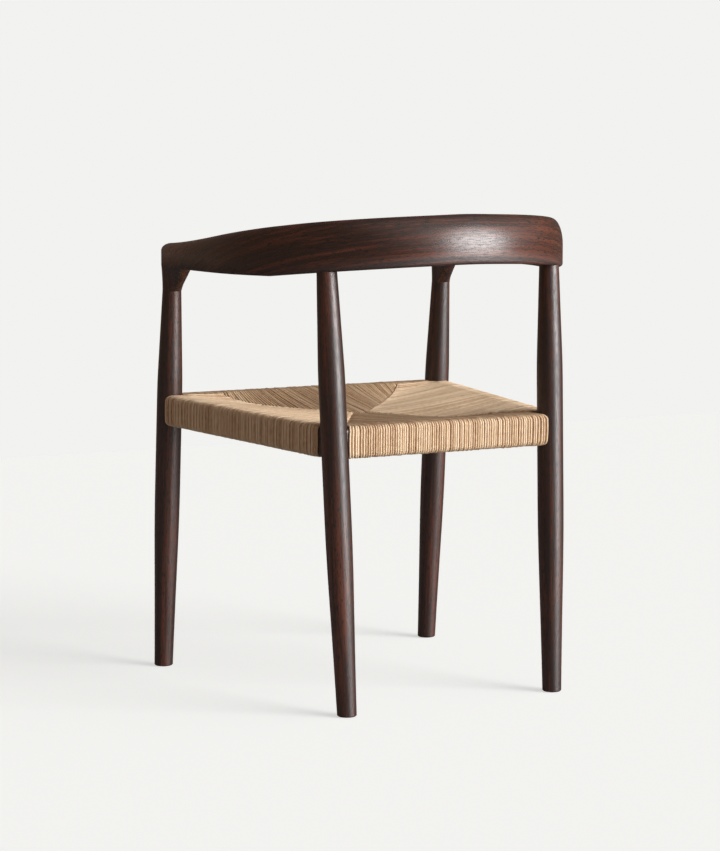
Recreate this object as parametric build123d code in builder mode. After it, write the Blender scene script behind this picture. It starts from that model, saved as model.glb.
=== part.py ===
from build123d import *
from math import acos, asin, atan, atan2, cos, degrees, exp, hypot, pi, radians, sin, sqrt, tan
import os

# Armchair: turned legs, a shaved bow that is both backrest and arms, and a wrapped cord seat.
# Millimetres, +Z up. The sitter faces -Y and the sitter's left hand is at +X.

# ---- Driving dimensions -------------------------------------------------------------

# The bow, in plan: one arc behind the sitter, then a flatter arc forward along each arm
bow_radius = 275.5             # centre line of the arc behind the sitter
bow_thickness = 34.0
back_half_angle = 64.0         # where the backrest meets the arms
arm_run = 215.1                # from the end of the quarter arc forward to the front leg
arm_draw_in = 22.5             # how far the arm closes in over that run
arm_end_thickness = 35.4

# The bow, in elevation
arm_underside = 656.8
back_underside = 675.0
underside_power = 1.61         # how late the arch behind the sitter comes down to the arms
arm_crest = 693.8
back_crest = 749.3
crest_fall_at = 395.5          # along the bow from its middle, where the crest is half way down
crest_fall_length = 119.0      # how gently it falls there
back_ridge_offset = 11.0       # the ridge lies towards the sitter at the back
back_shoulder_share = 0.667    # share of the height taken by the outer shoulder
arm_shoulder_share = 0.325
back_inner_share = 0.11        # the same for the sitter's side
bow_corner = 5.0               # rounding along the lower edges
bow_corner_at_knee = 0.8

# Legs: centres of foot and head, measured from the centre of the back arc
front_foot_x = 252.1
front_foot_y = -260.6
front_neck_x = 252.7
front_neck_y = -217.8
back_foot_x = 184.5
back_foot_y = 228.2
back_head_x = 197.7
back_head_y = 191.8
leg_diameter = 40.6
front_foot_diameter = 30.0
back_foot_diameter = 29.6
leg_swell_height = 290.0       # full diameter from here
front_taper_height = 450.0     # to here on the front legs
back_taper_height = 490.0      # and to here on the back ones
front_neck_diameter = 30.2     # at the shoulder under the knee
back_neck_diameter = 30.4
foot_chamfer = 1.5

# Knee blocks between the front legs and the arms
knee_height = 39.0
knee_turn = 6.0                # degrees that the rear face is turned in from straight back
knee_reach = 42.2              # behind the leg's axis, under the arm
knee_rear_half = 10.4          # half the width of the rear face there
knee_rear_bulge = 1.0
knee_mid_share = 0.5
knee_mid_reach = 31.0
knee_mid_half = 8.8
knee_mid_bulge = 3.0

# Joinery
leg_tenon_diameter = 20.0
arm_mortise_depth = 23.5       # for the front leg's tenon, which also goes through the knee
back_tenon_rise = 36.0         # above the head of the back leg, in the backrest
back_cope_depth = 4.0          # the back leg's shoulder, cut to the rounded underside
bow_tenon_width = 10.0
bow_tenon_height = 30.0
bow_tenon_length = 60.0
rail_tenon_width = 12.0
rail_tenon_height = 16.0
rail_tenon_past_axis = 5.0
tenon_web = 1.0                # half the wood left between crossing tenons
joint_clearance = 0.1
tack_clearance = 0.01

# Seat frame: rails between the leg axes, in a seat plane that falls towards the back
front_rail_x = 252.5
front_rail_y = -230.9
back_rail_x = 192.7
back_rail_y = 205.7
front_rail_height = 425.0
back_rail_height = 411.5
rail_width = 28.0
rail_depth = 44.0
rail_corner = 6.0
cord_diameter = 3.0

# Cord seat, in the seat plane: x across, y back from the front rail
cord_clearance = 0.3
front_seam_x = 180.0           # where the seams leave the front rail
apex_x = 13.5                  # where they meet the back seams
apex_y = 178.6
back_seam_x = 185.0
back_seam_y = 430.6
dish_depth = 20.5
front_dish_level = 0.045       # share of a front seam that stays level, from the rail
front_dish_ease = 0.2          # share over which it then falls by two thirds
back_dish_flat = 0.33          # share of the back seam that stays at full depth
back_dish_rise = 0.62          # share over which it rises to the rail
front_leg_gap = 1.5            # between the windings and the front legs
back_leg_gap = 3.6             # between the side windings and the back legs, which lean more
back_rail_bare = 2.0           # bare wood at each end of the back rail

# Small parts
glide_diameter = 18.0
glide_thickness = 3.0
glide_proud = 1.0
glide_pin_diameter = 3.0
glide_pin_length = 14.0
tack_head_diameter = 5.0
tack_head_thickness = 0.8
tack_shank_diameter = 1.6
tack_length = 14.0
tack_spacing = 90.0            # from the middle of each rail to its tacks

# ---- Derived values -----------------------------------------------------------------

bow_half = bow_thickness / 2
arm_end_half = arm_end_thickness / 2
cord_half = rail_width / 2 + cord_diameter        # half the width of a wrapped rail
cord_rise = rail_depth / 2 + cord_diameter        # half its height
cord_corner = rail_corner + cord_diameter
band = cord_diameter - cord_clearance             # thickness of the windings as a solid

# The origin lies under the middle of the chair's length
back_reach = bow_radius + bow_half
front_reach = front_foot_y - front_foot_diameter / 2
centre_y = -(back_reach + front_reach) / 2

front_neck_height = arm_underside - knee_height
front_tenon_rise = knee_height + arm_mortise_depth

# Arm arc: tangent to the quarter arc, closing in by arm_draw_in over arm_run
arm_radius = (arm_run ** 2 + arm_draw_in ** 2) / (2 * arm_draw_in)
quarter_length = bow_radius * pi / 2
back_half_length = bow_radius * radians(back_half_angle)
bow_half_length = quarter_length + arm_radius * asin(arm_run / arm_radius)


# ---- Bow: centre line and sections --------------------------------------------------

def bow_plane(s):
    """Plane across the bow at the distance s from its middle; X outward, Y up, Z along the bow."""
    if s <= quarter_length:
        turn = s / bow_radius
        x = bow_radius * sin(turn)
        y = bow_radius * cos(turn)
    else:
        bend = (s - quarter_length) / arm_radius
        turn = pi / 2 + bend
        x = bow_radius - arm_radius * (1 - cos(bend))
        y = -arm_radius * sin(bend)
    outward = (sin(turn), cos(turn), 0)
    along = (cos(turn), -sin(turn), 0)
    return Plane(origin=(x, y + centre_y, 0), x_dir=outward, z_dir=along)


def fade(share):
    """1 at the start, 0 at the end, level at both."""
    return cos(pi / 2 * min(1, max(0, share))) ** 2


def crest(s):
    """Height of the ridge: level behind the sitter, falling to the arms."""
    def fallen(place):
        return 1 / (1 + exp((crest_fall_at - place) / crest_fall_length))

    share = (fallen(s) - fallen(0)) / (fallen(bow_half_length) - fallen(0))
    return back_crest - (back_crest - arm_crest) * share


def underside(s):
    """Height of the lower face: arched behind the sitter, level along the arms."""
    share = min(1, s / back_half_length)
    return back_underside - (back_underside - arm_underside) * share ** underside_power


def bow_measures(s):
    """Half thickness, lower face, crest, ridge place, two shoulder heights and lower rounding."""
    low = underside(s)
    height = crest(s) - low
    swing = fade(s / bow_half_length)
    forward = 1 - fade((s - quarter_length) / (bow_half_length - quarter_length))
    half = bow_half + (arm_end_half - bow_half) * forward
    ridge = -back_ridge_offset * fade(s / back_half_length)
    outer = height * (arm_shoulder_share + (back_shoulder_share - arm_shoulder_share) * swing)
    inner = height * (arm_shoulder_share + (back_inner_share - arm_shoulder_share) * swing)
    corner = bow_corner + (bow_corner_at_knee - bow_corner) * forward
    return half, low, low + height, ridge, outer, inner, corner


def bow_section(station):
    """Section across the bow; a negative station lies on the sitter's right."""
    s = abs(station)
    half, low, top, ridge, outer, inner, corner = bow_measures(s)
    plane = bow_plane(s)
    if station < 0:
        plane = Plane(
            origin=(-plane.origin.X, plane.origin.Y, 0),
            x_dir=(-plane.x_dir.X, plane.x_dir.Y, 0),
            z_dir=(plane.z_dir.X, -plane.z_dir.Y, 0),
        )
    with BuildSketch(plane) as section:
        with BuildLine():
            Line((corner - half, low), (half - corner, low))
            CenterArc((half - corner, low + corner), corner, -90, 90)
            Line((half, low + corner), (half, top - outer))
            EllipticalCenterArc((ridge, top - outer), half - ridge, outer, 0, arc_size=90)
            EllipticalCenterArc((ridge, top - inner), half + ridge, inner, 90, arc_size=90)
            Line((-half, top - inner), (-half, low + corner))
            CenterArc((corner - half, low + corner), corner, 180, 90)
        make_face()
    return section.sketch


def spread(first, last, steps):
    """Evenly spaced values from first to last."""
    return [first + (last - first) * step / steps for step in range(steps + 1)]


# ---- Legs ---------------------------------------------------------------------------

# Axes: the front ones up to the neck, the back ones up to the underside of the backrest
back_head_height = underside(bow_radius * atan2(back_head_x, back_head_y))
front_foot = Vector(front_foot_x, front_foot_y + centre_y, 0)
front_head = Vector(front_neck_x, front_neck_y + centre_y, front_neck_height)
back_foot = Vector(back_foot_x, back_foot_y + centre_y, 0)
back_head = Vector(back_head_x, back_head_y + centre_y, back_head_height)


def axis_direction(foot, head):
    return (head - foot).normalized()


def on_axis(foot, head, height):
    """The point of a leg's axis at a height above the floor."""
    direction = axis_direction(foot, head)
    return foot + direction * (height / direction.Z)


def leg_plane(foot, head):
    """Plane holding a leg's axis: X across, Y up the axis."""
    direction = axis_direction(foot, head)
    across = (Vector(1, 0, 0) - direction * direction.X).normalized()
    return Plane(origin=foot, x_dir=across, z_dir=across.cross(direction))


def turned_leg(foot, head, taper_height, neck_height, foot_diameter, neck_diameter):
    """A turned leg up to its neck, cut level at the foot."""
    rise = axis_direction(foot, head).Z
    swell = leg_swell_height / rise
    taper = taper_height / rise
    neck = neck_height / rise
    foot_half = foot_diameter / 2
    full_half = leg_diameter / 2
    neck_half = neck_diameter / 2
    below = foot_half * 0.2
    low_share = (full_half - foot_half) * 0.55
    high_share = (full_half - neck_half) * 0.3
    with BuildPart() as leg:
        with BuildSketch(leg_plane(foot, head)):
            with BuildLine():
                Line((0, -below), (foot_half, -below))
                Line((foot_half, -below), (foot_half, 0))
                Spline(
                    (foot_half, 0),
                    (foot_half + low_share, swell / 2),
                    (full_half, swell),
                    tangents=((0.017, 1), (0, 1)),
                )
                Line((full_half, swell), (full_half, taper))
                Spline(
                    (full_half, taper),
                    (full_half - high_share, taper + (neck - taper) * 0.38),
                    (neck_half, neck),
                    tangents=((0, 1), (-0.037, 1)),
                )
                Line((neck_half, neck), (0, neck))
                Line((0, neck), (0, -below))
            make_face()
        revolve(axis=Axis(foot, axis_direction(foot, head)))
        split(bisect_by=Plane.XY.offset(glide_proud), keep=Keep.TOP)
        chamfer(leg.edges().group_by(Axis.Z)[0], foot_chamfer)
    return leg.part


def leg_tenon(foot, head, start, rise, clearance=0.0):
    """Round tenon on a leg's axis; with a clearance, the hole for it."""
    direction = axis_direction(foot, head)
    base = Plane(origin=on_axis(foot, head, start), z_dir=direction)
    with BuildPart() as tenon:
        with BuildSketch(base):
            Circle(leg_tenon_diameter / 2 + clearance)
        extrude(amount=rise + 10 * clearance)
    return tenon.part


def glide_solid(foot, clearance=0.0):
    """Nylon disc with a pin, pressed into the underside of a foot."""
    with BuildPart() as glide:
        with BuildSketch(Plane(origin=(foot.X, foot.Y, 0))):
            Circle(glide_diameter / 2 + clearance)
        extrude(amount=glide_thickness + clearance)
        with BuildSketch(Plane(origin=(foot.X, foot.Y, glide_thickness))):
            Circle(glide_pin_diameter / 2 + clearance)
        extrude(amount=glide_pin_length + clearance)
    return glide.part


# ---- Seat frame ---------------------------------------------------------------------

rail_fall = atan((front_rail_height - back_rail_height) / (back_rail_y - front_rail_y))
seat_length = (back_rail_y - front_rail_y) / cos(rail_fall)
seat_plane = Plane(
    origin=(0, front_rail_y + centre_y, front_rail_height),
    x_dir=(1, 0, 0),
    z_dir=(0, sin(rail_fall), cos(rail_fall)),
)
seat_back = seat_plane.y_dir
seat_up = seat_plane.z_dir
side_skew = atan((front_rail_x - back_rail_x) / seat_length)


def seat_point(x, y, w=0.0):
    return seat_plane.from_local_coords(Vector(x, y, w))


def rail_middle_plane(start, end):
    """Plane across a rail at its middle: X across the rail, Y up, Z along it."""
    along = (end - start).normalized()
    return Plane(origin=(start + end) * 0.5, x_dir=seat_up.cross(along) * -1, z_dir=along)


def rail_body(start, end):
    """Rail between two leg axes, before its ends are coped."""
    half_length = (end - start).length / 2
    with BuildPart() as rail:
        with BuildSketch(rail_middle_plane(start, end)):
            RectangleRounded(rail_width, rail_depth, rail_corner)
        extrude(amount=half_length, both=True)
    return rail.part


def rail_tenon(start, end, side, clearance=0.0):
    """Bar that forms a rail's tenons; side is +1 in the upper half and -1 in the lower."""
    half_length = (end - start).length / 2 + rail_tenon_past_axis + clearance
    lift = side * (rail_tenon_height / 2 + tenon_web)
    with BuildPart() as bar:
        with BuildSketch(rail_middle_plane(start, end)):
            with Locations((0, -lift)):
                Rectangle(rail_tenon_width + 2 * clearance, rail_tenon_height + 2 * clearance)
        extrude(amount=half_length, both=True)
    return bar.part


def tack_solids(plane, clearance=0.0):
    """Two tacks driven into a rail's inner face; the plane's Z points out of the face."""
    with BuildPart() as tacks:
        with BuildSketch(plane.offset(-tack_length)):
            with Locations((tack_spacing, 0), (-tack_spacing, 0)):
                Circle(tack_shank_diameter / 2 + clearance)
        extrude(amount=tack_length + tack_head_thickness)
        if clearance == 0:
            with BuildSketch(plane):
                with Locations((tack_spacing, 0), (-tack_spacing, 0)):
                    Circle(tack_head_diameter / 2)
            extrude(amount=tack_head_thickness)
    return tacks.part


def rail_inner_plane(start, end):
    """Plane on a rail's inner face: X along the rail, Z towards the middle of the seat."""
    along = (end - start).normalized()
    inward = seat_up.cross(along)
    middle = (start + end) * 0.5
    if inward.dot(seat_point(0, seat_length / 2) - middle) < 0:
        inward = inward * -1
    return Plane(origin=middle + inward * (rail_width / 2), x_dir=along, z_dir=inward)


# ---- Cord windings ------------------------------------------------------------------

def front_dip(share):
    """How far the cords dip along a front seam, from the rail (0) to the apex (1)."""
    return dish_depth * (1 - exp(-max(0, share - front_dish_level) / front_dish_ease))


def back_dip(share):
    """How far the cords dip along a back seam, from the apex (0) to the corner (1)."""
    rise = min(1, max(0, (share - back_dish_flat) / back_dish_rise))
    return dish_depth * (1 - rise * rise * (3 - 2 * rise)) + cord_clearance


def cord_section(plane, reach, dip, stretch=1.0):
    """C-shaped section of the windings round one rail.

    The plane's origin is on the rail's centre line, X points into the seat and Y up. The
    layers run from the rail to the seam at X = reach, where both have closed in by the dip.
    """
    half = cord_half * stretch
    core = half - cord_corner
    core_y = cord_rise - cord_corner
    rim_x = reach
    rim_y = cord_rise - dip
    away = hypot(rim_x - core, rim_y - core_y)
    leave = atan2(rim_y - core_y, rim_x - core) + acos(cord_corner / away)
    slope = leave - pi / 2
    bore = cord_corner - band
    rim_inner = rim_y - band / cos(slope)

    def tangent_point(radius, side):
        return core + radius * cos(leave), side * (core_y + radius * sin(leave))

    turn = 90 - degrees(leave)
    with BuildSketch(plane) as section:
        with BuildLine():
            Line((rim_x, rim_y), tangent_point(cord_corner, 1))
            CenterArc((core, core_y), cord_corner, degrees(leave), turn)
            Line((core, cord_rise), (-core, cord_rise))
            CenterArc((-core, core_y), cord_corner, 90, 90)
            Line((-half, core_y), (-half, -core_y))
            CenterArc((-core, -core_y), cord_corner, 180, 90)
            Line((-core, -cord_rise), (core, -cord_rise))
            CenterArc((core, -core_y), cord_corner, -90, turn)
            Line(tangent_point(cord_corner, -1), (rim_x, -rim_y))
            Line((rim_x, -rim_y), (rim_x, -rim_inner))
            Line((rim_x, -rim_inner), tangent_point(bore, -1))
            CenterArc((core, -core_y), bore, -90 + turn, -turn)
            Line((core, -core_y - bore), (-core, -core_y - bore))
            CenterArc((-core, -core_y), bore, -90, -90)
            Line((-core - bore, -core_y), (-core - bore, core_y))
            CenterArc((-core, core_y), bore, 180, -90)
            Line((-core, core_y + bore), (core, core_y + bore))
            CenterArc((core, core_y), bore, 90, -turn)
            Line(tangent_point(bore, 1), (rim_x, rim_inner))
            Line((rim_x, rim_inner), (rim_x, rim_y))
        make_face()
    return section.sketch


def front_seam(share):
    return front_seam_x + (apex_x - front_seam_x) * share, apex_y * share


def back_seam(share):
    return apex_x + (back_seam_x - apex_x) * share, apex_y + (back_seam_y - apex_y) * share


def side_rail_x(y):
    """Centre line of the left side rail."""
    return front_rail_x + (back_rail_x - front_rail_x) * y / seat_length


seam_gap = cord_clearance / 2
side_start = (leg_diameter / 2 + front_leg_gap) / apex_y                 # share of a front seam
back_end = (back_rail_x - leg_diameter / 2 - back_rail_bare - apex_x) / (back_seam_x - apex_x)
side_end = (seat_length - leg_diameter / 2 - back_leg_gap - apex_y) / (back_seam_y - apex_y)


def front_panel_section(share, side):
    x, y = front_seam(share)
    plane = Plane(origin=seat_point(side * x, 0), x_dir=seat_back, z_dir=(1, 0, 0))
    return cord_section(plane, y - seam_gap, front_dip(share))


def back_panel_section(share, side):
    x, y = back_seam(share)
    plane = Plane(origin=seat_point(side * x, seat_length), x_dir=seat_back * -1, z_dir=(-1, 0, 0))
    return cord_section(plane, seat_length - y - seam_gap, back_dip(share))


def side_panel_section(seam_x, y, dip):
    rail_x = side_rail_x(y)
    plane = Plane(origin=seat_point(rail_x, y), x_dir=(-1, 0, 0), z_dir=seat_back)
    return cord_section(plane, rail_x - seam_x - seam_gap, dip, 1 / cos(side_skew))


# ---- Bow pieces ---------------------------------------------------------------------

back_sections = [bow_section(s) for s in spread(-back_half_length, back_half_length, 12)]
arm_sections = [bow_section(s) for s in spread(back_half_length, quarter_length, 4)]
arm_sections += [bow_section(s) for s in spread(quarter_length, bow_half_length, 6)[1:]]
bow_end_plane = bow_plane(bow_half_length)

with BuildPart() as backrest:
    loft(sections=back_sections)
backrest_blank = backrest.part

# The arm ends in a half round about the front leg, with the same shoulder as its sides
with BuildPart() as arm_left:
    loft(sections=arm_sections)
    half, low, top, ridge, outer, inner, corner = bow_measures(bow_half_length)
    with BuildSketch(bow_end_plane):
        with BuildLine():
            Line((0, low), (half - corner, low))
            CenterArc((half - corner, low + corner), corner, -90, 90)
            Line((half, low + corner), (half, top - outer))
            EllipticalCenterArc((0, top - outer), half, outer, 0, arc_size=90)
            Line((0, top), (0, low))
        make_face()
    revolve(axis=Axis(bow_end_plane.origin, (0, 0, -1)), revolution_arc=180)

# Loose tenon across the joint between the backrest and an arm
joint_plane = bow_plane(back_half_length)
joint_middle = (underside(back_half_length) + crest(back_half_length)) / 2


def bow_tenon(clearance=0.0):
    with BuildPart() as tenon:
        with BuildSketch(joint_plane):
            with Locations((0, joint_middle)):
                Rectangle(bow_tenon_width + 2 * clearance, bow_tenon_height + 2 * clearance)
        extrude(amount=bow_tenon_length / 2 + clearance, both=True)
    return tenon.part


with BuildPart() as bow_tenon_left:
    add(bow_tenon())
with BuildPart() as bow_tenon_right:
    mirror(bow_tenon_left.part, about=Plane.YZ)

# ---- Knee: from the leg's round neck to the underside of the arm --------------------

rearward = Vector(-sin(radians(knee_turn)), cos(radians(knee_turn)), 0)
front_axis = axis_direction(front_foot, front_head)
neck_half = front_neck_diameter / 2


def knee_section(share, reach, rear_half, bulge):
    """Section of the knee: round in front, sides that close in, and a rear face that flattens."""
    centre = on_axis(front_foot, front_head, front_neck_height + knee_height * share)
    if share == 0:
        normal = front_axis
        back_dir = (rearward - front_axis * rearward.dot(front_axis)).normalized()
    else:
        normal = Vector(0, 0, 1)
        back_dir = rearward
    half = neck_half + (arm_end_half - neck_half) * share ** 1.5
    with BuildSketch(Plane(origin=centre, x_dir=back_dir, z_dir=normal)) as section:
        with BuildLine():
            ThreePointArc((0, half), (-half, 0), (0, -half))
            Line((0, -half), (reach - bulge, -rear_half))
            ThreePointArc((reach - bulge, -rear_half), (reach, 0), (reach - bulge, rear_half))
            Line((reach - bulge, rear_half), (0, half))
        make_face()
    return section.sketch


neck_side = 0.4
knee_sections = [
    knee_section(0, neck_half + neck_side, neck_half, neck_half),
    knee_section(knee_mid_share, knee_mid_reach, knee_mid_half, knee_mid_bulge),
    knee_section(1, knee_reach, knee_rear_half, knee_rear_bulge),
]
front_hole = leg_tenon(
    front_foot, front_head, front_neck_height, front_tenon_rise, joint_clearance
)
with BuildPart() as knee_left:
    loft(sections=knee_sections)
    add(front_hole, mode=Mode.SUBTRACT)
with BuildPart() as knee_right:
    mirror(knee_left.part, about=Plane.YZ)

# ---- Legs, seat rails and their joints ----------------------------------------------

corner_front = seat_point(front_rail_x, 0)
corner_back = seat_point(back_rail_x, seat_length)
corner_front_right = seat_point(-front_rail_x, 0)
corner_back_right = seat_point(-back_rail_x, seat_length)

front_leg_blank = turned_leg(
    front_foot, front_head, front_taper_height, front_neck_height,
    front_foot_diameter, front_neck_diameter,
)
back_leg_blank = turned_leg(
    back_foot, back_head, back_taper_height, back_head_height + back_cope_depth,
    back_foot_diameter, back_neck_diameter,
)
back_tenon_start = back_head_height - leg_tenon_diameter
back_tenon_length = leg_tenon_diameter + back_tenon_rise
back_tenon = leg_tenon(back_foot, back_head, back_tenon_start, back_tenon_length)
back_hole = leg_tenon(
    back_foot, back_head, back_tenon_start, back_tenon_length, joint_clearance
)

with BuildPart() as leg_front_left:
    add(front_leg_blank)
    add(leg_tenon(front_foot, front_head, front_neck_height, front_tenon_rise))
    add(rail_tenon(corner_front_right, corner_front, 1, joint_clearance), mode=Mode.SUBTRACT)
    add(rail_tenon(corner_front, corner_back, -1, joint_clearance), mode=Mode.SUBTRACT)
    add(glide_solid(front_foot, joint_clearance), mode=Mode.SUBTRACT)
with BuildPart() as leg_front_right:
    mirror(leg_front_left.part, about=Plane.YZ)

# The back leg's shoulder is coped to the underside of the backrest
with BuildPart() as leg_back_left:
    add(back_leg_blank)
    add(backrest_blank, mode=Mode.SUBTRACT)
    add(back_tenon)
    add(rail_tenon(corner_back_right, corner_back, 1, joint_clearance), mode=Mode.SUBTRACT)
    add(rail_tenon(corner_front, corner_back, -1, joint_clearance), mode=Mode.SUBTRACT)
    add(glide_solid(back_foot, joint_clearance), mode=Mode.SUBTRACT)
with BuildPart() as leg_back_right:
    mirror(leg_back_left.part, about=Plane.YZ)

with BuildPart() as glides:
    for foot in (front_foot, back_foot):
        for side in (1, -1):
            add(glide_solid(Vector(side * foot.X, foot.Y, 0)))

right_back_hole = mirror(back_hole, about=Plane.YZ, mode=Mode.PRIVATE)
with BuildPart() as backrest:
    add(backrest_blank)
    add(back_hole, mode=Mode.SUBTRACT)
    add(right_back_hole, mode=Mode.SUBTRACT)
    add(bow_tenon(joint_clearance), mode=Mode.SUBTRACT)
    mirror(bow_tenon(joint_clearance), about=Plane.YZ, mode=Mode.SUBTRACT)

with arm_left:
    add(front_hole, mode=Mode.SUBTRACT)
    add(bow_tenon(joint_clearance), mode=Mode.SUBTRACT)
with BuildPart() as arm_right:
    mirror(arm_left.part, about=Plane.YZ)

front_leg_right_blank = mirror(front_leg_blank, about=Plane.YZ, mode=Mode.PRIVATE)
back_leg_right_blank = mirror(back_leg_blank, about=Plane.YZ, mode=Mode.PRIVATE)

with BuildPart() as seat_rail_front:
    add(rail_body(corner_front_right, corner_front))
    add(front_leg_blank, mode=Mode.SUBTRACT)
    add(front_leg_right_blank, mode=Mode.SUBTRACT)
    add(rail_tenon(corner_front_right, corner_front, 1))
    add(tack_solids(rail_inner_plane(corner_front_right, corner_front), tack_clearance), mode=Mode.SUBTRACT)

with BuildPart() as seat_rail_back:
    add(rail_body(corner_back_right, corner_back))
    add(back_leg_blank, mode=Mode.SUBTRACT)
    add(back_leg_right_blank, mode=Mode.SUBTRACT)
    add(rail_tenon(corner_back_right, corner_back, 1))
    add(tack_solids(rail_inner_plane(corner_back_right, corner_back), tack_clearance), mode=Mode.SUBTRACT)

with BuildPart() as seat_rail_left:
    add(rail_body(corner_front, corner_back))
    add(rail_body(corner_front_right, corner_front), mode=Mode.SUBTRACT)
    add(front_leg_blank, mode=Mode.SUBTRACT)
    add(back_leg_blank, mode=Mode.SUBTRACT)
    add(rail_tenon(corner_front, corner_back, -1))
    add(tack_solids(rail_inner_plane(corner_front, corner_back), tack_clearance), mode=Mode.SUBTRACT)
with BuildPart() as seat_rail_right:
    mirror(seat_rail_left.part, about=Plane.YZ)

with BuildPart() as cord_tacks:
    add(tack_solids(rail_inner_plane(corner_front_right, corner_front)))
    add(tack_solids(rail_inner_plane(corner_back_right, corner_back)))
    add(tack_solids(rail_inner_plane(corner_front, corner_back)))
    add(tack_solids(rail_inner_plane(corner_front_right, corner_back_right)))

# ---- Cord seat ----------------------------------------------------------------------

front_shares = spread(side_start, 1, 5)
back_shares = spread(0, back_end, 6)
front_sections = [front_panel_section(share, -1) for share in front_shares]
front_sections += [front_panel_section(share, 1) for share in reversed(front_shares)]
back_sections = [back_panel_section(share, 1) for share in reversed(back_shares)]
back_sections += [back_panel_section(share, -1) for share in back_shares]
side_sections = [
    side_panel_section(front_seam(share)[0], front_seam(share)[1], front_dip(share))
    for share in spread(side_start, 1, 5)
]
side_sections += [
    side_panel_section(back_seam(share)[0], back_seam(share)[1], back_dip(share))
    for share in spread(0, side_end, 6)[1:]
]

with BuildPart() as weave_front:
    loft(sections=front_sections, ruled=True)
with BuildPart() as weave_back:
    loft(sections=back_sections, ruled=True)
with BuildPart() as weave_left:
    loft(sections=side_sections, ruled=True)
with BuildPart() as weave_right:
    mirror(weave_left.part, about=Plane.YZ)

# Extra turns round the front rail only, between the front panel and each leg
wrap_start = front_seam(side_start)[0] + cord_clearance
wrap_length = front_rail_x - leg_diameter / 2 - front_leg_gap - wrap_start
with BuildPart() as front_wrap_left:
    with BuildSketch(Plane(origin=seat_point(wrap_start, 0), x_dir=seat_back, z_dir=(1, 0, 0))):
        RectangleRounded(2 * cord_half, 2 * cord_rise, cord_corner)
        RectangleRounded(
            2 * (cord_half - band), 2 * (cord_rise - band), cord_corner - band, mode=Mode.SUBTRACT
        )
    extrude(amount=wrap_length)
with BuildPart() as front_wrap_right:
    mirror(front_wrap_left.part, about=Plane.YZ)

# ---- Export -------------------------------------------------------------------------

pieces = {
    "leg_front_left": leg_front_left,
    "leg_front_right": leg_front_right,
    "leg_back_left": leg_back_left,
    "leg_back_right": leg_back_right,
    "backrest": backrest,
    "arm_left": arm_left,
    "arm_right": arm_right,
    "knee_left": knee_left,
    "knee_right": knee_right,
    "bow_tenon_left": bow_tenon_left,
    "bow_tenon_right": bow_tenon_right,
    "seat_rail_front": seat_rail_front,
    "seat_rail_back": seat_rail_back,
    "seat_rail_left": seat_rail_left,
    "seat_rail_right": seat_rail_right,
    "weave_front": weave_front,
    "weave_back": weave_back,
    "weave_left": weave_left,
    "weave_right": weave_right,
    "front_wrap_left": front_wrap_left,
    "front_wrap_right": front_wrap_right,
    "cord_tacks": cord_tacks,
    "glides": glides,
}

os.makedirs("parts", exist_ok=True)
for name, piece in pieces.items():
    piece.part.label = name
    export_step(piece.part, f"parts/{name}.step")
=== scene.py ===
import math
import random

import bpy
import numpy as np
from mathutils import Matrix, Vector


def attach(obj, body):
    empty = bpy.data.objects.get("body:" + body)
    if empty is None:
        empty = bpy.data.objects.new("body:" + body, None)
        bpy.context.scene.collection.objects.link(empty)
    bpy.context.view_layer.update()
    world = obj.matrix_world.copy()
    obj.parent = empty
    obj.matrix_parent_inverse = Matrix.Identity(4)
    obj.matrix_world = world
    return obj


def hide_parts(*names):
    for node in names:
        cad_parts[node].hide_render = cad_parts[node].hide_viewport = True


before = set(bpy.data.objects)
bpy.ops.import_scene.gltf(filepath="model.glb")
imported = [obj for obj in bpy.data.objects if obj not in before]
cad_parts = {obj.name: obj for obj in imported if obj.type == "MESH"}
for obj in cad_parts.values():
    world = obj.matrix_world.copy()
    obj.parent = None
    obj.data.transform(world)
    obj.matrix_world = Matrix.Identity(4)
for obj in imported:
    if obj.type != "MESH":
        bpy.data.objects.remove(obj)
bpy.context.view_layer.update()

# Metres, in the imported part's frame: +Z up, the sitter faces -Y, the sitter's left is +X.

# ---- Sizes repeated from the part ----------------------------------------------------

FRONT_RAIL = (0.2525, -0.23935, 0.425)     # left end of the front rail's centre line
BACK_RAIL = (0.1927, 0.19725, 0.4115)      # left end of the back rail's
RAIL_WIDTH = 0.028
RAIL_DEPTH = 0.044
RAIL_CORNER = 0.006
CORD = 0.003
LEG = 0.0406
BOW_RADIUS = 0.2755
BOW_CENTRE_Y = -0.00845

FRONT_SEAM_X = 0.180           # in the seat plane: x across, y back from the front rail
APEX_X = 0.0135
APEX_Y = 0.1786
BACK_SEAM_X = 0.185
BACK_SEAM_Y = 0.4306
DISH = 0.0205
DISH_START = 0.045             # share of a front seam that stays level, from the rail
DISH_EASE = 0.2                # share over which most of the dish is reached
BACK_DISH_FLAT = 0.33
BACK_DISH_RISE = 0.62
LEG_GAP = 0.0012               # between a leg and the strand beside it, on top of a rail
BACK_LEG_GAP = 0.0030          # the same where the side windings meet the back legs, which lean

# ---- Seat plane -----------------------------------------------------------------------

fall = math.atan2(FRONT_RAIL[2] - BACK_RAIL[2], BACK_RAIL[1] - FRONT_RAIL[1])
seat_length = (BACK_RAIL[1] - FRONT_RAIL[1]) / math.cos(fall)
seat_back = np.array((0, math.cos(fall), -math.sin(fall)))
seat_up = np.array((0, math.sin(fall), math.cos(fall)))
seat_across = np.array((1.0, 0, 0))
seat_origin = np.array((0, FRONT_RAIL[1], FRONT_RAIL[2]))
cord_half = RAIL_WIDTH / 2 + CORD
cord_rise = RAIL_DEPTH / 2 + CORD
cord_corner = RAIL_CORNER + CORD
skew = math.atan((FRONT_RAIL[0] - BACK_RAIL[0]) / seat_length)
leg_clear = LEG / 2 + LEG_GAP          # from a leg's axis to the strand beside it


def front_seam(share):
    return FRONT_SEAM_X + (APEX_X - FRONT_SEAM_X) * share, APEX_Y * share


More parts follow.
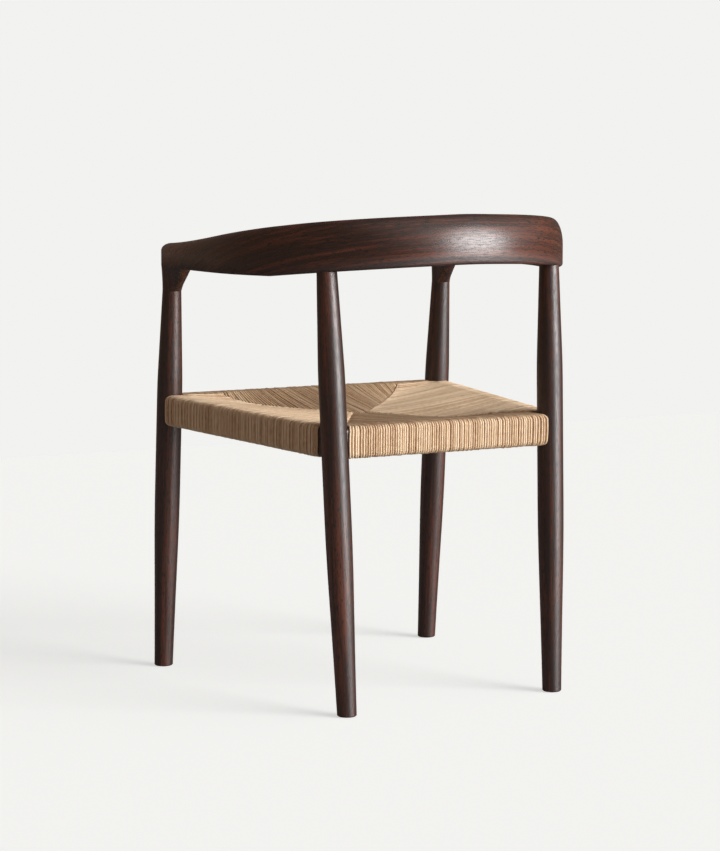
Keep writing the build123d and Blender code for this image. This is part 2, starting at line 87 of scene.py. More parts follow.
def back_seam(share):
    return APEX_X + (BACK_SEAM_X - APEX_X) * share, APEX_Y + (BACK_SEAM_Y - APEX_Y) * share


def front_dip(share):
    return DISH * (1 - math.exp(-max(0, share - DISH_START) / DISH_EASE))


def back_dip(share):
    rise = min(1, max(0, (share - BACK_DISH_FLAT) / BACK_DISH_RISE))
    return DISH * (1 - rise * rise * (3 - 2 * rise))


def side_rail_x(y):
    return FRONT_RAIL[0] + (BACK_RAIL[0] - FRONT_RAIL[0]) * y / seat_length


def front_end(x):
    """Where a strand of the front triangle ends: the seam's y at x, and its dip."""
    share = min(1, (FRONT_SEAM_X - x) / (FRONT_SEAM_X - APEX_X))
    return front_seam(share)[1], front_dip(share)


def back_end(x):
    """The same for the back triangle."""
    share = max(0, (x - APEX_X) / (BACK_SEAM_X - APEX_X))
    return back_seam(share)[1], back_dip(share)


def side_end(y):
    """Where a strand of a side triangle ends: the seam's x at y, and its dip."""
    if y < APEX_Y:
        share = y / APEX_Y
        return front_seam(share)[0], front_dip(share)
    share = (y - APEX_Y) / (BACK_SEAM_Y - APEX_Y)
    return back_seam(share)[0], back_dip(share)


front_limit = front_seam(leg_clear / APEX_Y)[0]    # half the run of the front triangle

# ---- Strands of cord ------------------------------------------------------------------

STRAND = 0.0033                # diameter of the thickest strand
STRAND_LEAST = 0.88            # that of the thinnest, as a share of it
STRAND_PITCH = 0.0041
STRAND_SIDES = 10
ARC_STEPS = 5                  # steps round a rail's corner
TOP_POINTS = 0.4               # points on a rail's top and underside, as a share of half of it
FACE_POINTS = 0.33             # the same on its outer face
SPAN = 0.012                   # about the longest span of a strand over the seat
SPANS_LEAST = 6
SPAN_POWER = 1.6               # how much the spans shorten towards the seam
SCATTER = 0.14                 # how far a strand is out of place, in pitches
PAIR = 0.10                    # how far the side strands close up in pairs, in pitches
LIFT = 0.00035                 # how far a strand stands above or below its neighbours
SLANT = 0.0011                 # how far one drifts sideways along its length
TURN_STEADY = 3                # how many times less the front rail's own turns slant
TWIST_START = 40               # a strand's twist starts anywhere in this many diameters
# How much closer to a leg the windings come on the outer face of a rail
FRONT_REACH = 0.007
BACK_REACHES = (0.0084, 0.0062)    # at the sitter's right, at the left
SIDE_REACHES = (0.0098, 0.0066)    # at the front, at the back
NO_REACHES = (0, 0)
CROWD = 0.025                  # how far along a rail the strands lean towards a leg
LEAN_START = 0.2               # where a turn starts to lean, in half widths out from the middle
LEAN_EASE = 0.6                # how far out from there it leans in full
LEAN_ROUND = 0.8               # how much of that it loses towards the rail's top and underside
FAN = 0.0080                   # how far forward the first side strand has drifted at the seam
FAN_EASE = 0.030               # distance along the rail over which the others do less
RIDE = 0.0016                  # how far it stands above the front rail's turns there
RIDE_LIMIT = 0.028             # y at which a strand no longer rides
RIDE_SHARE = 0.25              # share of a strand's run over which it drifts and climbs
SAG_POWER = 1.3                # how much sooner a strand falls near its rail
SEAM_SHORT = 0.0026            # how far before the seam a side strand turns down
SEAM_OVER = 0.0010             # how far it stands up there
SEAM_UNDER = 0.0036            # how far the others sink there, to pass below it
SEAM_PAST = 0.0030             # how far those run on
SEAM_EASE = 0.006              # distance over which they do so
DIVE = 0.0065                  # how far a side strand's end turns down
DIVE_POINTS = ((0.4, 0.15), (0.6, 0.40), (2.2, 1))     # back in SEAM_SHORTs, down in DIVEs
DIVE_PAINTED_SPANS = 2                 # spans at each end of it that are painted in the dark shade colour, where it turns down
LINING_INSET = 0.0026          # depth of the sheet under the strands, painted dark as the shade in the gaps
LINING_STATIONS = 60
LINING_STEPS = 10
TURN_STATIONS = 8              # the same for the painted shade sheet under the front rail's own turns
rng = random.Random(7)


def rail_corner(half, inset):
    """Place of a corner's centre from the rail's own, in (p, w), and the radius round it."""
    return half - cord_corner, cord_rise - cord_corner, cord_corner - inset


def arc(p, w, radius, first, last, steps=ARC_STEPS):
    """Points round (p, w) from one angle to another."""
    angles = [first + (last - first) * step / steps for step in range(steps + 1)]
    return [(p + radius * math.cos(angle), w + radius * math.sin(angle)) for angle in angles]


def layer(reach, dip, half, sign, inset, steps, over):
    """Centre line from the rail's rounded inner edge to the seam, in (p, w).

    Near the seam it rises by over. There a side strand, whose over is positive, turns down,
    and the others run on below it. The lining, which has a number of steps, does neither.
    """
    core, core_w, bend = rail_corner(half, inset)
    end_w = cord_rise - inset - dip
    away = math.hypot(reach - core, end_w - core_w)
    leave = math.atan2(end_w - core_w, reach - core) + math.acos(min(1, bend / away))
    points = arc(core, core_w, bend, math.pi / 2, leave, ARC_STEPS - 1)
    start_p, start_w = points[-1]
    strand = steps is None
    run = reach - start_p - (SEAM_SHORT if strand and over > 0 else 0)
    steps = steps or max(SPANS_LEAST, int(run / SPAN))
    for step in range(1, steps + 1):
        share = 1 - (1 - step / steps) ** SPAN_POWER
        fallen = 1 - (1 - share) ** SAG_POWER
        near = math.exp(-run * (1 - share) / SEAM_EASE) * (1 - math.exp(-run * share / SEAM_EASE))
        points.append((start_p + run * share, start_w + (end_w - start_w) * fallen + over * near))
    if strand and over > 0:
        for back, down in DIVE_POINTS:
            points.append((reach - SEAM_SHORT * back, end_w + over - DIVE * down))
    elif strand:
        points.append((reach + SEAM_PAST, points[-1][1]))
    return [(p, sign * w) for p, w in points]


def round_rail(half, inset):
    """Centre line round the outside of the rail, from its top to its underside."""
    core, core_w, bend = rail_corner(half, inset)
    top, face = core * TOP_POINTS, core_w * FACE_POINTS
    return [
        (top, core_w + bend), (-top, core_w + bend),
        *arc(-core, core_w, bend, math.pi / 2, math.pi),
        (-half + inset, face), (-half + inset, -face),
        *arc(-core, -core_w, bend, math.pi, math.pi * 1.5),
        (-top, -core_w - bend), (top, -core_w - bend),
    ]


def winding(reach, dip, half, over, inset=STRAND / 2, steps=None):
    """Whole centre line: seam, over the rail, round it, under it, seam."""
    top = layer(reach, dip, half, 1, inset, steps, over)
    low = layer(reach, dip, half, -1, inset, steps, over)
    return top[::-1] + round_rail(half, inset) + low


def ring(half, inset=STRAND / 2):
    """Closed turn round the rail alone."""
    core, core_w, bend = rail_corner(half, inset)
    points = []
    for corner, (sign_p, sign_w) in enumerate(((1, 1), (-1, 1), (-1, -1), (1, -1))):
        first = math.pi / 2 * corner
        points += arc(sign_p * core, sign_w * core_w, bend, first, first + math.pi / 2)
    return points


class Strands:
    """Collects tubes and makes one mesh of them."""

    def __init__(self):
        self.points = []
        self.faces = []
        self.uvs = []
        self.tones = []
        self.slots = []
        self.count = 0

    def add(self, path, side, radius, closed=False, seed=0.0, painted_shade_spans=0):
        """One tube along path; side is a unit vector roughly square to it.

        The spans at each end, as many as given, and the end caps with them, are painted in the
        dark shade colour, where they turn down.
        """
        path = np.asarray(path)
        n = len(path)
        if closed:
            ahead = np.roll(path, -1, axis=0) - np.roll(path, 1, axis=0)
        else:
            ahead = np.gradient(path, axis=0)
        ahead /= np.linalg.norm(ahead, axis=1)[:, None]
        side = np.asarray(side)[None, :] - ahead * (ahead @ np.asarray(side))[:, None]
        side /= np.linalg.norm(side, axis=1)[:, None]
        out = np.cross(side, ahead)
        angles = np.arange(STRAND_SIDES) / STRAND_SIDES * 2 * math.pi
        ring_points = (
            path[:, None, :]
            + radius * np.cos(angles)[None, :, None] * side[:, None, :]
            + radius * np.sin(angles)[None, :, None] * out[:, None, :]
        )
        self.points.append(ring_points.reshape(-1, 3))
        gaps = np.linalg.norm(np.diff(path, axis=0), axis=1)
        along = np.concatenate([[0], np.cumsum(gaps)]) / STRAND + seed
        spans = n if closed else n - 1
        tone = (rng.random(), rng.random())
        corners = len(self.uvs)
        for i in range(spans):
            j = (i + 1) % n
            far = along[j] if j else along[-1] + 1
            # the spans at the ends get the painted shade material
            self.slots += [int(i < painted_shade_spans or i >= spans - painted_shade_spans)] * STRAND_SIDES
            for k in range(STRAND_SIDES):
                m = (k + 1) % STRAND_SIDES
                base = self.count
                self.faces.append(
                    (base + i * STRAND_SIDES + k, base + i * STRAND_SIDES + m,
                     base + j * STRAND_SIDES + m, base + j * STRAND_SIDES + k)
                )
                a, b = k / STRAND_SIDES, (k + 1) / STRAND_SIDES
                self.uvs += [(along[i], a), (along[i], b), (far, b), (far, a)]
        if not closed:
            for end, order in ((0, -1), (n - 1, 1)):
                loop = [self.count + end * STRAND_SIDES + k for k in range(STRAND_SIDES)]
                self.faces.append(tuple(loop[::order]))
                self.slots.append(int(painted_shade_spans > 0))
                self.uvs += [(along[end], 0.5)] * STRAND_SIDES
        self.tones += [tone] * (len(self.uvs) - corners)
        self.count += n * STRAND_SIDES

    def add_painted_shade_sheet(self, rows):
        """Tube just under the strands' crowns, painted in a dark colour for the shade on the cord
        below, seen in the gaps.
        """
        rows = np.asarray(rows)
        count, n = rows.shape[:2]
        self.points.append(rows.reshape(-1, 3))
        for i in range(count - 1):
            here, there = self.count + i * n, self.count + (i + 1) * n
            for j in range(n):
                k = (j + 1) % n
                self.faces.append((here + j, here + k, there + k, there + j))
                self.uvs += [(0.0, 0.0)] * 4
                self.tones += [(0.0, 1.0)] * 4
        self.slots += [1] * (count - 1) * n
        self.count += count * n

    def make(self, name):
        mesh = bpy.data.meshes.new(name)
        mesh.from_pydata(np.concatenate(self.points).tolist(), [], self.faces)
        uv = mesh.uv_layers.new(name="cord")
        uv.data.foreach_set("uv", np.asarray(self.uvs, dtype=np.float32).ravel())
        uv = mesh.uv_layers.new(name="strand")
        uv.data.foreach_set("uv", np.asarray(self.tones, dtype=np.float32).ravel())
        mesh.shade_smooth()
        mesh.polygons.foreach_set("material_index", self.slots)
        mesh.update()
        piece = bpy.data.objects.new(name, mesh)
        bpy.context.collection.objects.link(piece)
        return piece


def spaced(first, last, pair=0.0):
    """Places from first to last, about a pitch apart, each a little off and drawn to its pair."""
    count = max(1, round((last - first) / STRAND_PITCH))
    step = (last - first) / count
    shifts = [pair * (1 - 2 * (i % 2)) + rng.uniform(-SCATTER, SCATTER) for i in range(count)]
    return [first + step * (i + 0.5 + shift) for i, shift in enumerate(shifts)]


def seat_world(x, y, w):
    return seat_origin + seat_across * x + seat_back * y + seat_up * w


def strand_radius():
    return STRAND / 2 * rng.uniform(STRAND_LEAST, 1.0)


def twist_start():
    return rng.uniform(0, TWIST_START)


def lean(p, w, half, near, far, near_reach, far_reach):
    """Shift along the rail that lets the outer face of a turn close up to round legs.

    near and far are the distances from the turn to the two leg axes, and the reaches say how
    much closer the outer face comes than the top.
    """
    outward = min(1, max(0, (-p / half - LEAN_START) / LEAN_EASE))
    share = outward * math.sqrt(max(0, 1 - LEAN_ROUND * (w / cord_rise) ** 4))
    to_near = near_reach * math.exp(-max(0, near - leg_clear) / CROWD)
    to_far = far_reach * math.exp(-max(0, far - leg_clear) / CROWD)
    return share * (to_far - to_near)


def across_panel(name, rail_y, inward, limit, leg_x, reaches, end_at):
    """Front or back triangle: strands run front to back and turn round one rail."""
    strands = Strands()

    def lay(x, drift, lift, path):
        world = []
        for i, (p, w) in enumerate(path):
            aside = lean(p, w, cord_half, leg_x + x, leg_x - x, *reaches)
            across = x + drift * (i / (len(path) - 1) - 0.5) + aside
            world.append(seat_world(across, rail_y + inward * p, w + lift * np.sign(w)))
        return world

    def path_at(x, *shape):
        seam_y, dip = end_at(abs(x))
        return winding(abs(seam_y - rail_y), dip, cord_half, -SEAM_UNDER, *shape)

    advance = STRAND_PITCH / 2 * inward
    for x in spaced(-limit, limit):
        drift = advance + rng.uniform(-SLANT, SLANT)
        world = lay(x, drift, rng.uniform(-LIFT, LIFT), path_at(x))
        strands.add(world, seat_across, strand_radius(), seed=twist_start())
    stations = np.linspace(-limit + STRAND_PITCH / 2, limit - STRAND_PITCH / 2, LINING_STATIONS)
    strands.add_painted_shade_sheet(
        [lay(x, advance, 0, path_at(x, LINING_INSET, LINING_STEPS)) for x in stations])
    return strands.make(name)


def side_panel(name, side):
    """Left or right triangle: strands run from side to side and turn round one side rail.

    The first ones drift forward towards the seam, over the front rail's turns.
    """
    strands = Strands()
    start = leg_clear
    end = seat_length - LEG / 2 - BACK_LEG_GAP
    half = cord_half / math.cos(skew)
    core_edge = half - cord_corner
    along = seat_across * (BACK_RAIL[0] - FRONT_RAIL[0]) * side / seat_length + seat_back
    along /= np.linalg.norm(along)

    def fanned(y):
        return FAN * math.exp(-(y - start) / FAN_EASE)

    def path_at(y, *shape):
        seam_x, dip = side_end(y - fanned(y))
        return winding(side_rail_x(y) - seam_x, dip, half, SEAM_OVER, *shape)

    def lay(y, drift, lift, path):
        world = []
        reach = path[0][0]
        for i, (p, w) in enumerate(path):
            inside = max(0, (p - core_edge) / (reach - core_edge))
            climbed = min(1, inside / RIDE_SHARE)
            back = y + drift * (i / (len(path) - 1) - 0.5) - fanned(y) * climbed
            back += lean(p, w, half, y, seat_length - y, *SIDE_REACHES)
            over = climbed * min(1, max(0, (RIDE_LIMIT - back) / (RIDE_LIMIT - start)))
            out = side_rail_x(back if p < 0 else y) - p
            world.append(seat_world(side * out, back, w + (lift + RIDE * over) * np.sign(w)))
        return world

    for y in spaced(start, end, PAIR):
        drift = STRAND_PITCH / 2 + rng.uniform(-SLANT, SLANT)
        world = lay(y, drift, rng.uniform(-LIFT, LIFT), path_at(y))
        strands.add(world, along, strand_radius(), seed=twist_start(), painted_shade_spans=DIVE_PAINTED_SPANS)
    stations = np.linspace(start + STRAND_PITCH / 2, end - STRAND_PITCH / 2, LINING_STATIONS)
    strands.add_painted_shade_sheet(
        [lay(y, STRAND_PITCH / 2, 0, path_at(y, LINING_INSET, LINING_STEPS)) for y in stations])
    return strands.make(name)


def rail_turns(name, side):
    """Turns round the front rail alone, beside a front leg."""
    strands = Strands()
    start = front_limit
    end = FRONT_RAIL[0] - leg_clear

    def lay(x, drift, path):
        world = []
        for p, w in path:
            aside = lean(-abs(p), w, cord_half, x, FRONT_RAIL[0] - x, 0, FRONT_REACH)
            world.append(seat_world(side * (x + aside) + drift * w / cord_rise, p, w))
        return world

    for x in spaced(start, end):
        world = lay(x, rng.uniform(-SLANT, SLANT) / TURN_STEADY, ring(cord_half))
        strands.add(world, seat_across, strand_radius(), closed=True, seed=twist_start())
    stations = np.linspace(start + STRAND_PITCH / 2, end - STRAND_PITCH / 2, TURN_STATIONS)
    strands.add_painted_shade_sheet([lay(x, 0, ring(cord_half, LINING_INSET)) for x in stations])
    return strands.make(name)


# ---- Material helpers -----------------------------------------------------------------

MIX_A, MIX_B, MIX_RESULT = 6, 7, 2     # a Mix node's sockets for colours


def srgb(r, g, b):
    def linear(c):
        c /= 255
        return c / 12.92 if c <= 0.04045 else ((c + 0.055) / 1.055) ** 2.4
    return linear(r), linear(g), linear(b)


def node_material(name):
    material = bpy.data.materials.new(name)
    material.use_nodes = True
    tree = material.node_tree
    tree.nodes.clear()
    output = tree.nodes.new("ShaderNodeOutputMaterial")
    shader = tree.nodes.new("ShaderNodeBsdfPrincipled")
    tree.links.new(shader.outputs[0], output.inputs[0])
    return material, tree, shader


def feed(tree, socket, value):
    """Link a socket to another node's output, or set it to a number."""
    if isinstance(value, (int, float)):
        socket.default_value = value
    else:
        tree.links.new(value, socket)


def math_node(tree, operation, a, b=None):
    node = tree.nodes.new("ShaderNodeMath")
    node.operation = operation
    feed(tree, node.inputs[0], a)
    if b is not None:
        feed(tree, node.inputs[1], b)
    return node.outputs[0]


def plus(tree, a, b):
    return math_node(tree, "ADD", a, b)


def minus(tree, a, b):
    return math_node(tree, "SUBTRACT", a, b)


def times(tree, a, b):
    return math_node(tree, "MULTIPLY", a, b)


def weighted(tree, *pairs):
    """Sum of each value times its weight."""
    total = None
    for value, weight in pairs:
        part = times(tree, value, weight)
        total = part if total is None else plus(tree, total, part)
    return total


def combined(tree, x, y, z):
    node = tree.nodes.new("ShaderNodeCombineXYZ")
    for socket, value in zip(node.inputs, (x, y, z)):
        feed(tree, socket, value)
    return node.outputs[0]


def separated(tree, vector):
    node = tree.nodes.new("ShaderNodeSeparateXYZ")
    tree.links.new(vector, node.inputs[0])
    return node.outputs


def object_place(tree):
    return tree.nodes.new("ShaderNodeTexCoord").outputs["Object"]


def noise_node(tree, place, scale, detail=2, roughness=0.5):
    node = tree.nodes.new("ShaderNodeTexNoise")
    node.inputs["Scale"].default_value = scale
    node.inputs["Detail"].default_value = detail
    node.inputs["Roughness"].default_value = roughness
    tree.links.new(place, node.inputs["Vector"])
    return node.outputs["Fac"]


def ramp(tree, value, stops):
    node = tree.nodes.new("ShaderNodeValToRGB")
    elements = node.color_ramp.elements
    while len(elements) < len(stops):
        elements.new(0.5)
    for element, (place, colour) in zip(elements, stops):
        element.position = place
        element.color = (*colour, 1)
    tree.links.new(value, node.inputs[0])
    return node.outputs[0]


def bump(tree, shader, height, strength):
    node = tree.nodes.new("ShaderNodeBump")
    node.inputs["Strength"].default_value = strength
    node.inputs["Distance"].default_value = BUMP_DEPTH
    tree.links.new(height, node.inputs["Height"])
    tree.links.new(node.outputs[0], shader.inputs["Normal"])


# ---- Materials ------------------------------------------------------------------------

WOOD_DARK = srgb(32, 17, 12)
WOOD_MID = srgb(55, 29, 21)
WOOD_LIGHT = srgb(96, 50, 34)
WOOD_PORE = srgb(14, 8, 6)
WOOD_SPECULAR = 0.76
WOOD_BUMP = 0.3
LEG_ROUGHNESS = 0.35           # of a leg's wood between its pores
HAND_ROUGHNESS = 0.27          # the same on the other pieces
PORE_ROUGHNESS = 0.12          # how much rougher the pores are
UNDERSIDE = 0.675              # height of the bow's lower face behind the sitter
UNDERSIDE_FALL = 0.0182        # how far it comes down to the arms
UNDERSIDE_POWER = 1.61
BOW_BACK_HALF = 0.3077         # run from the middle to where the arms begin
WEAR_HEIGHT = 0.020            # height over which the polish dulls to the bow's lower edges
WEAR_ROUGHNESS = 0.40          # how much rougher it is there
FIGURE_ARCH = 0.43             # the figure on the bow falls by this times the square of the run
CORD_DARK = srgb(203, 170, 136)
CORD_MID = srgb(233, 205, 171)
CORD_PALE = srgb(244, 222, 192)
# Painted shade: the cord below the strands, darkened to how it looks in the gaps
CORD_PAINTED_SHADE = srgb(48, 31, 21)
CORD_GROOVE_SHADE = (0.60, 0.52, 0.45)       # painted shade between the plies
CORD_GROOVE_WIDTH = 0.45       # height of a ply up to which it reaches
CORD_GROOVE_SHARE = 0.85
CORD_LAY = 0.35                # turns of the twist in one strand diameter
CORD_PLIES = 3
CORD_PATCH = 160               # scale of the noise that tints a stretch of cord
CORD_FIBRE = 1400              # scale of the paper's own
CORD_ROUGHNESS = 0.6
CORD_SPECULAR = 0.4
CORD_BUMP = 0.6
BELOW_ROUGHNESS = 0.9
BUMP_DEPTH = 0.0003
SPECKLE = 400                  # scale of the noise in the plain materials
SPECKLE_DARK = 0.85            # their darkest, as a share of their colour


def straight_grain(tree, place, direction):
    """Coordinates whose Z runs along a direction."""
    turn = tree.nodes.new("ShaderNodeMapping")
    turn.vector_type = "TEXTURE"
    turn.inputs["Rotation"].default_value = Vector(direction).to_track_quat("Z", "Y").to_euler()
    tree.links.new(place, turn.inputs["Vector"])
    return turn.outputs[0]


def bow_place(tree, place):
    """Width and depth from the bow's centre, height, and run along the bow from its middle."""
    x, y, z = separated(tree, place)
    back = minus(tree, y, BOW_CENTRE_Y)
    behind = math_node(tree, "MAXIMUM", back, 0.0)
    ahead = times(tree, math_node(tree, "MINIMUM", back, 0.0), -1.0)
    turn = math_node(tree, "ABSOLUTE", math_node(tree, "ARCTAN2", x, behind))
    return x, behind, z, plus(tree, times(tree, turn, BOW_RADIUS), ahead)


def bow_grain(tree, place):
    """Coordinates that follow the bow: across it, up, and along it with the figure's arch."""
    x, behind, z, run = bow_place(tree, place)
    squares = plus(tree, times(tree, x, x), times(tree, behind, behind))
    across = math_node(tree, "SQRT", squares)
    arch = times(tree, times(tree, run, run), FIGURE_ARCH)
    along = times(tree, run, math_node(tree, "SIGN", x))
    return combined(tree, across, plus(tree, z, arch), along)


def bow_wear(tree, place):
    """Roughness that the bow's polish gains towards its lower edges, where hands hold it."""
    _, _, z, run = bow_place(tree, place)
    share = math_node(tree, "MINIMUM", times(tree, run, 1 / BOW_BACK_HALF), 1.0)
    fallen = times(tree, math_node(tree, "POWER", share, UNDERSIDE_POWER), UNDERSIDE_FALL)
    above = plus(tree, minus(tree, z, UNDERSIDE), fallen)
    deep = math_node(tree, "MAXIMUM", minus(tree, WEAR_HEIGHT, above), 0.0)
    return times(tree, deep, WEAR_ROUGHNESS / WEAR_HEIGHT)


def wood_material(name, direction, roughness):
    """Dark stained open-pored wood with its grain along a direction, or along the bow."""
    material, tree, shader = node_material(name)
    nodes, links = tree.nodes, tree.links
    place = object_place(tree)
    grain = bow_grain(tree, place) if direction is None else straight_grain(tree, place, direction)

    def stretched(across, along, detail, grit, start=0.0):
        """Noise of so many cycles in a metre across the grain and along it."""
        stretch = nodes.new("ShaderNodeMapping")
        stretch.inputs["Location"].default_value = (start, 0, 0)
        stretch.inputs["Scale"].default_value = (across, across, along)
        links.new(grain, stretch.inputs["Vector"])
        return noise_node(tree, stretch.outputs[0], 1, detail, grit)

    broad = stretched(across=35, along=2.5, detail=2, grit=0.5, start=5.0)
    rings = stretched(across=190, along=4, detail=3, grit=0.6)
    streaks = stretched(across=520, along=20, detail=2, grit=0.6)
    pores = stretched(across=800, along=90, detail=1, grit=0.5)
    figure = weighted(tree, (broad, 0.30), (rings, 0.45), (streaks, 0.25))
    tone = ramp(tree, figure, ((0.38, WOOD_DARK), (0.49, WOOD_MID), (0.60, WOOD_LIGHT)))
    open_wood = ramp(tree, pores, ((0.35, (0, 0, 0)), (0.43, (1, 1, 1))))
    fleck = nodes.new("ShaderNodeMix")
    fleck.data_type = "RGBA"
    fleck.inputs[MIX_A].default_value = (*WOOD_PORE, 1)
    links.new(open_wood, fleck.inputs[0])
    links.new(tone, fleck.inputs[MIX_B])
    links.new(fleck.outputs[MIX_RESULT], shader.inputs["Base Color"])
    polish = weighted(tree, (streaks, 0.5), (pores, 0.5))
    open_roughness = roughness + PORE_ROUGHNESS
    rough = ramp(tree, polish, ((0.40, (open_roughness,) * 3), (0.56, (roughness,) * 3)))
    if direction is None:
        rough = plus(tree, rough, bow_wear(tree, place))
    links.new(rough, shader.inputs["Roughness"])
    shader.inputs["Specular IOR Level"].default_value = WOOD_SPECULAR
    bump(tree, shader, weighted(tree, (open_wood, 0.6), (streaks, 0.6)), WOOD_BUMP)
    return material


def cord_material():
    """Twisted paper cord. Its UV runs along the strand, in strand diameters, and once round it.

    A second UV holds a random number that tints each strand.
    """
    material, tree, shader = node_material("paper_cord_look")
    nodes, links = tree.nodes, tree.links

    def uv(name):
        coords = nodes.new("ShaderNodeUVMap")
        coords.uv_map = name
        return separated(tree, coords.outputs[0])

    along, around, _ = uv("cord")
    strand = uv("strand")[0]
    place = object_place(tree)
    twist = plus(tree, times(tree, along, CORD_LAY), around)
    wave = math_node(tree, "SINE", times(tree, twist, math.pi * CORD_PLIES))
    ply = math_node(tree, "ABSOLUTE", wave)
    mixed = weighted(tree, (strand, 0.4), (noise_node(tree, place, CORD_PATCH, 3), 0.6))
    tone = ramp(tree, mixed, ((0.25, CORD_DARK), (0.5, CORD_MID), (0.75, CORD_PALE)))
    # painted shade in the grooves between the plies
    groove_shade = ramp(tree, ply, ((0.0, CORD_GROOVE_SHADE), (CORD_GROOVE_WIDTH, (1, 1, 1))))
    tinted = nodes.new("ShaderNodeMix")
    tinted.data_type = "RGBA"
    tinted.blend_type = "MULTIPLY"
    tinted.inputs[0].default_value = CORD_GROOVE_SHARE
    links.new(tone, tinted.inputs[MIX_A])
    links.new(groove_shade, tinted.inputs[MIX_B])
    links.new(tinted.outputs[MIX_RESULT], shader.inputs["Base Color"])
    shader.inputs["Roughness"].default_value = CORD_ROUGHNESS
    shader.inputs["Specular IOR Level"].default_value = CORD_SPECULAR
    fibre = noise_node(tree, place, CORD_FIBRE, 3)
    bump(tree, shader, plus(tree, ply, times(tree, fibre, 0.5)), CORD_BUMP)
    return material


def plain_material(name, colour, roughness, metallic=0.0):
    material, tree, shader = node_material(name)
    dark = tuple(c * SPECKLE_DARK for c in colour)
    speckle = noise_node(tree, object_place(tree), SPECKLE)
    tone = ramp(tree, speckle, ((0.3, dark), (0.7, colour)))
    tree.links.new(tone, shader.inputs["Base Color"])
    shader.inputs["Roughness"].default_value = roughness
    shader.inputs["Metallic"].default_value = metallic
    return material


# ---- Pieces ---------------------------------------------------------------------------

def dress(piece, *materials):
    piece.data.materials.clear()
    for material in materials:
        piece.data.materials.append(material)


cord_look = cord_material()
# Painted shade colour for the sheet under the strands and for the strands' turned-down ends
painted_shade_look = plain_material("paper_cord_painted_shade", CORD_PAINTED_SHADE, BELOW_ROUGHNESS)
weave_pieces = {
    "weave_front": across_panel(
        "cords_front", 0.0, 1, front_limit, FRONT_RAIL[0], NO_REACHES, front_end),
    "weave_back": across_panel(
        "cords_back", seat_length, -1, BACK_RAIL[0] - leg_clear, BACK_RAIL[0], BACK_REACHES,
        back_end),
    "weave_left": side_panel("cords_left", 1),
    "weave_right": side_panel("cords_right", -1),
    "front_wrap_left": rail_turns("cords_front_rail_left", 1),
    "front_wrap_right": rail_turns("cords_front_rail_right", -1),
}
for node, piece in weave_pieces.items():
    dress(piece, cord_look, painted_shade_look)
    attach(piece, "root")
    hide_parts(node)

# Which way the grain runs; None follows the bow
GRAIN = {
    "leg_front_left": (0.001, 0.07, 1), "leg_front_right": (-0.001, 0.07, 1),
    "leg_back_left": (0.02, -0.055, 1), "leg_back_right": (-0.02, -0.055, 1),
    "backrest": None, "arm_left": None, "arm_right": None,
    "knee_left": (0, 0, 1), "knee_right": (0, 0, 1),
    "bow_tenon_left": (0.44, -0.9, 0), "bow_tenon_right": (-0.44, -0.9, 0),
    "seat_rail_front": (1, 0, 0), "seat_rail_back": (1, 0, 0),
    "seat_rail_left": (-0.137, 1, 0), "seat_rail_right": (0.137, 1, 0),
}
for node, direction in GRAIN.items():
    roughness = LEG_ROUGHNESS if node.startswith("leg") else HAND_ROUGHNESS
    dress(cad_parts[node], wood_material(node + "_wood", direction, roughness))
steel = plain_material("tack_steel", srgb(170, 170, 172), roughness=0.35, metallic=1.0)
dress(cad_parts["cord_tacks"], steel)
dress(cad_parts["glides"], plain_material("glide_nylon", srgb(30, 30, 30), roughness=0.5))

# ---- Floor, light and camera ----------------------------------------------------------

BACKGROUND = srgb(242, 242, 240)
KEY_BEARING = math.radians(125)        # from +X, towards the large softbox
KEY_PARTS = ((4, 2.45), (18, 1.72))    # elevation in degrees and strength of each row of it
KEY_ANGLE = math.radians(38)
AMBIENT_TOWARDS = Vector((-0.50, 0.60, 0.62)).normalized()
AMBIENT_SPAN = (-0.7, 1.0)     # cosines to that direction from which and to which it changes
AMBIENT = (
    (0.0, (0.208, 0.139, 0.103)),
    (0.68, (0.172, 0.129, 0.107)),
    (1.0, (0.86, 0.85, 0.83)),
)
FLOOR_SIZE = 6.0
FLOOR_ALBEDO = 0.32
FLOOR_SHADOW = 0.30            # share of the seen floor that takes shadows
FLOOR_LEAN = 0.10              # how far up its normal points, from the key's bearing
FLOOR_LIGHT = 1.725            # irradiance that it then gets
CAMERA_PLACE = Vector((2.1706, 3.7071, 0.8812))
CAMERA_FORWARD = Vector((-0.4961, -0.8613, -0.1096))
CAMERA_FOCAL = 2726.9          # pixels
FRAME_HEIGHT = 851             # pixels, the longer side
SENSOR = 36


def seen_or(tree, seen, unseen):
    """The seen shader for what the camera sees, also through glass, else the unseen one."""
    path = tree.nodes.new("ShaderNodeLightPath")
    mix = tree.nodes.new("ShaderNodeMixShader")
    looks = plus(tree, path.outputs["Is Camera Ray"], path.outputs["Is Transmission Ray"])
    tree.links.new(looks, mix.inputs[0])
    tree.links.new(unseen.outputs[0], mix.inputs[1])
    tree.links.new(seen.outputs[0], mix.inputs[2])
    return mix.outputs[0]


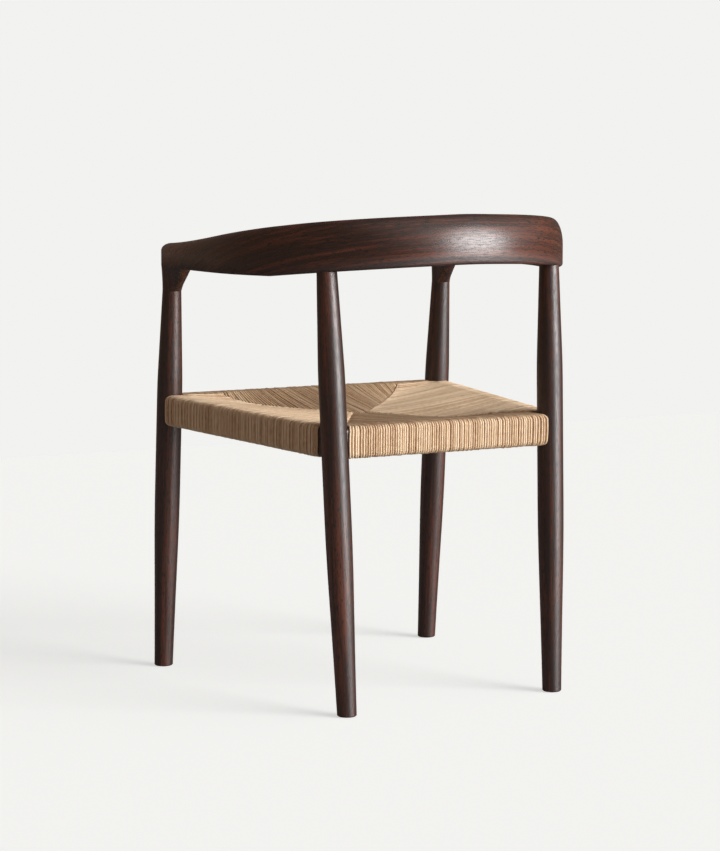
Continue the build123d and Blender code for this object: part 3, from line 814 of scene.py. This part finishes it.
def floor():
    """Pale floor that the camera sees at the backdrop's level, less the chair's shadow."""
    bpy.ops.mesh.primitive_plane_add(size=FLOOR_SIZE, location=(0, 0, 0))
    piece = bpy.context.object
    piece.name = "floor"
    material = bpy.data.materials.new("floor_paper")
    material.use_nodes = True
    tree = material.node_tree
    nodes, links = tree.nodes, tree.links
    nodes.clear()
    output = nodes.new("ShaderNodeOutputMaterial")
    bounce = nodes.new("ShaderNodeBsdfDiffuse")
    bounce.inputs["Color"].default_value = (FLOOR_ALBEDO,) * 3 + (1,)
    shade = nodes.new("ShaderNodeBsdfDiffuse")
    gain = FLOOR_SHADOW * math.pi / FLOOR_LIGHT
    shade.inputs["Color"].default_value = (*(c * gain for c in BACKGROUND), 1)
    normal = Vector((math.cos(KEY_BEARING), math.sin(KEY_BEARING), FLOOR_LEAN)).normalized()
    links.new(combined(tree, *normal), shade.inputs["Normal"])
    glow = nodes.new("ShaderNodeEmission")
    glow.inputs["Color"].default_value = (*BACKGROUND, 1)
    glow.inputs["Strength"].default_value = 1 - FLOOR_SHADOW
    seen = nodes.new("ShaderNodeAddShader")
    links.new(shade.outputs[0], seen.inputs[0])
    links.new(glow.outputs[0], seen.inputs[1])
    links.new(seen_or(tree, seen, bounce), output.inputs[0])
    piece.data.materials.append(material)
    piece.visible_shadow = False


def studio():
    """World light that is brighter towards the key, with a plain pale backdrop."""
    world = bpy.data.worlds.new("studio")
    bpy.context.scene.world = world
    world.use_nodes = True
    tree = world.node_tree
    nodes, links = tree.nodes, tree.links
    nodes.clear()
    output = nodes.new("ShaderNodeOutputWorld")
    coords = nodes.new("ShaderNodeTexCoord")
    towards = nodes.new("ShaderNodeVectorMath")
    towards.operation = "DOT_PRODUCT"
    towards.inputs[1].default_value = AMBIENT_TOWARDS
    links.new(coords.outputs["Generated"], towards.inputs[0])
    span = nodes.new("ShaderNodeMapRange")
    span.inputs["From Min"].default_value, span.inputs["From Max"].default_value = AMBIENT_SPAN
    links.new(towards.outputs["Value"], span.inputs["Value"])
    light = nodes.new("ShaderNodeBackground")
    links.new(ramp(tree, span.outputs[0], AMBIENT), light.inputs["Color"])
    seen = nodes.new("ShaderNodeBackground")
    seen.inputs["Color"].default_value = (*BACKGROUND, 1)
    links.new(seen_or(tree, seen, light), output.inputs[0])


def key_light():
    for elevation, strength in KEY_PARTS:
        name = "key_%d" % elevation
        lamp = bpy.data.lights.new(name, "SUN")
        lamp.energy = strength
        lamp.angle = KEY_ANGLE
        piece = bpy.data.objects.new(name, lamp)
        rise = math.radians(elevation)
        level = math.cos(rise)
        towards = Vector((
            math.cos(KEY_BEARING) * level, math.sin(KEY_BEARING) * level, math.sin(rise)))
        piece.rotation_euler = towards.to_track_quat("Z", "Y").to_euler()
        bpy.context.collection.objects.link(piece)


def photo_camera():
    lens = bpy.data.cameras.new("camera")
    lens.sensor_width = SENSOR
    lens.sensor_fit = "AUTO"
    lens.lens = CAMERA_FOCAL / FRAME_HEIGHT * SENSOR
    camera = bpy.data.objects.new("camera", lens)
    camera.location = CAMERA_PLACE
    camera.rotation_euler = CAMERA_FORWARD.to_track_quat("-Z", "Y").to_euler()
    bpy.context.collection.objects.link(camera)
    bpy.context.scene.camera = camera


floor()
studio()
key_light()
photo_camera()
bpy.context.scene.view_settings.view_transform = "Standard"
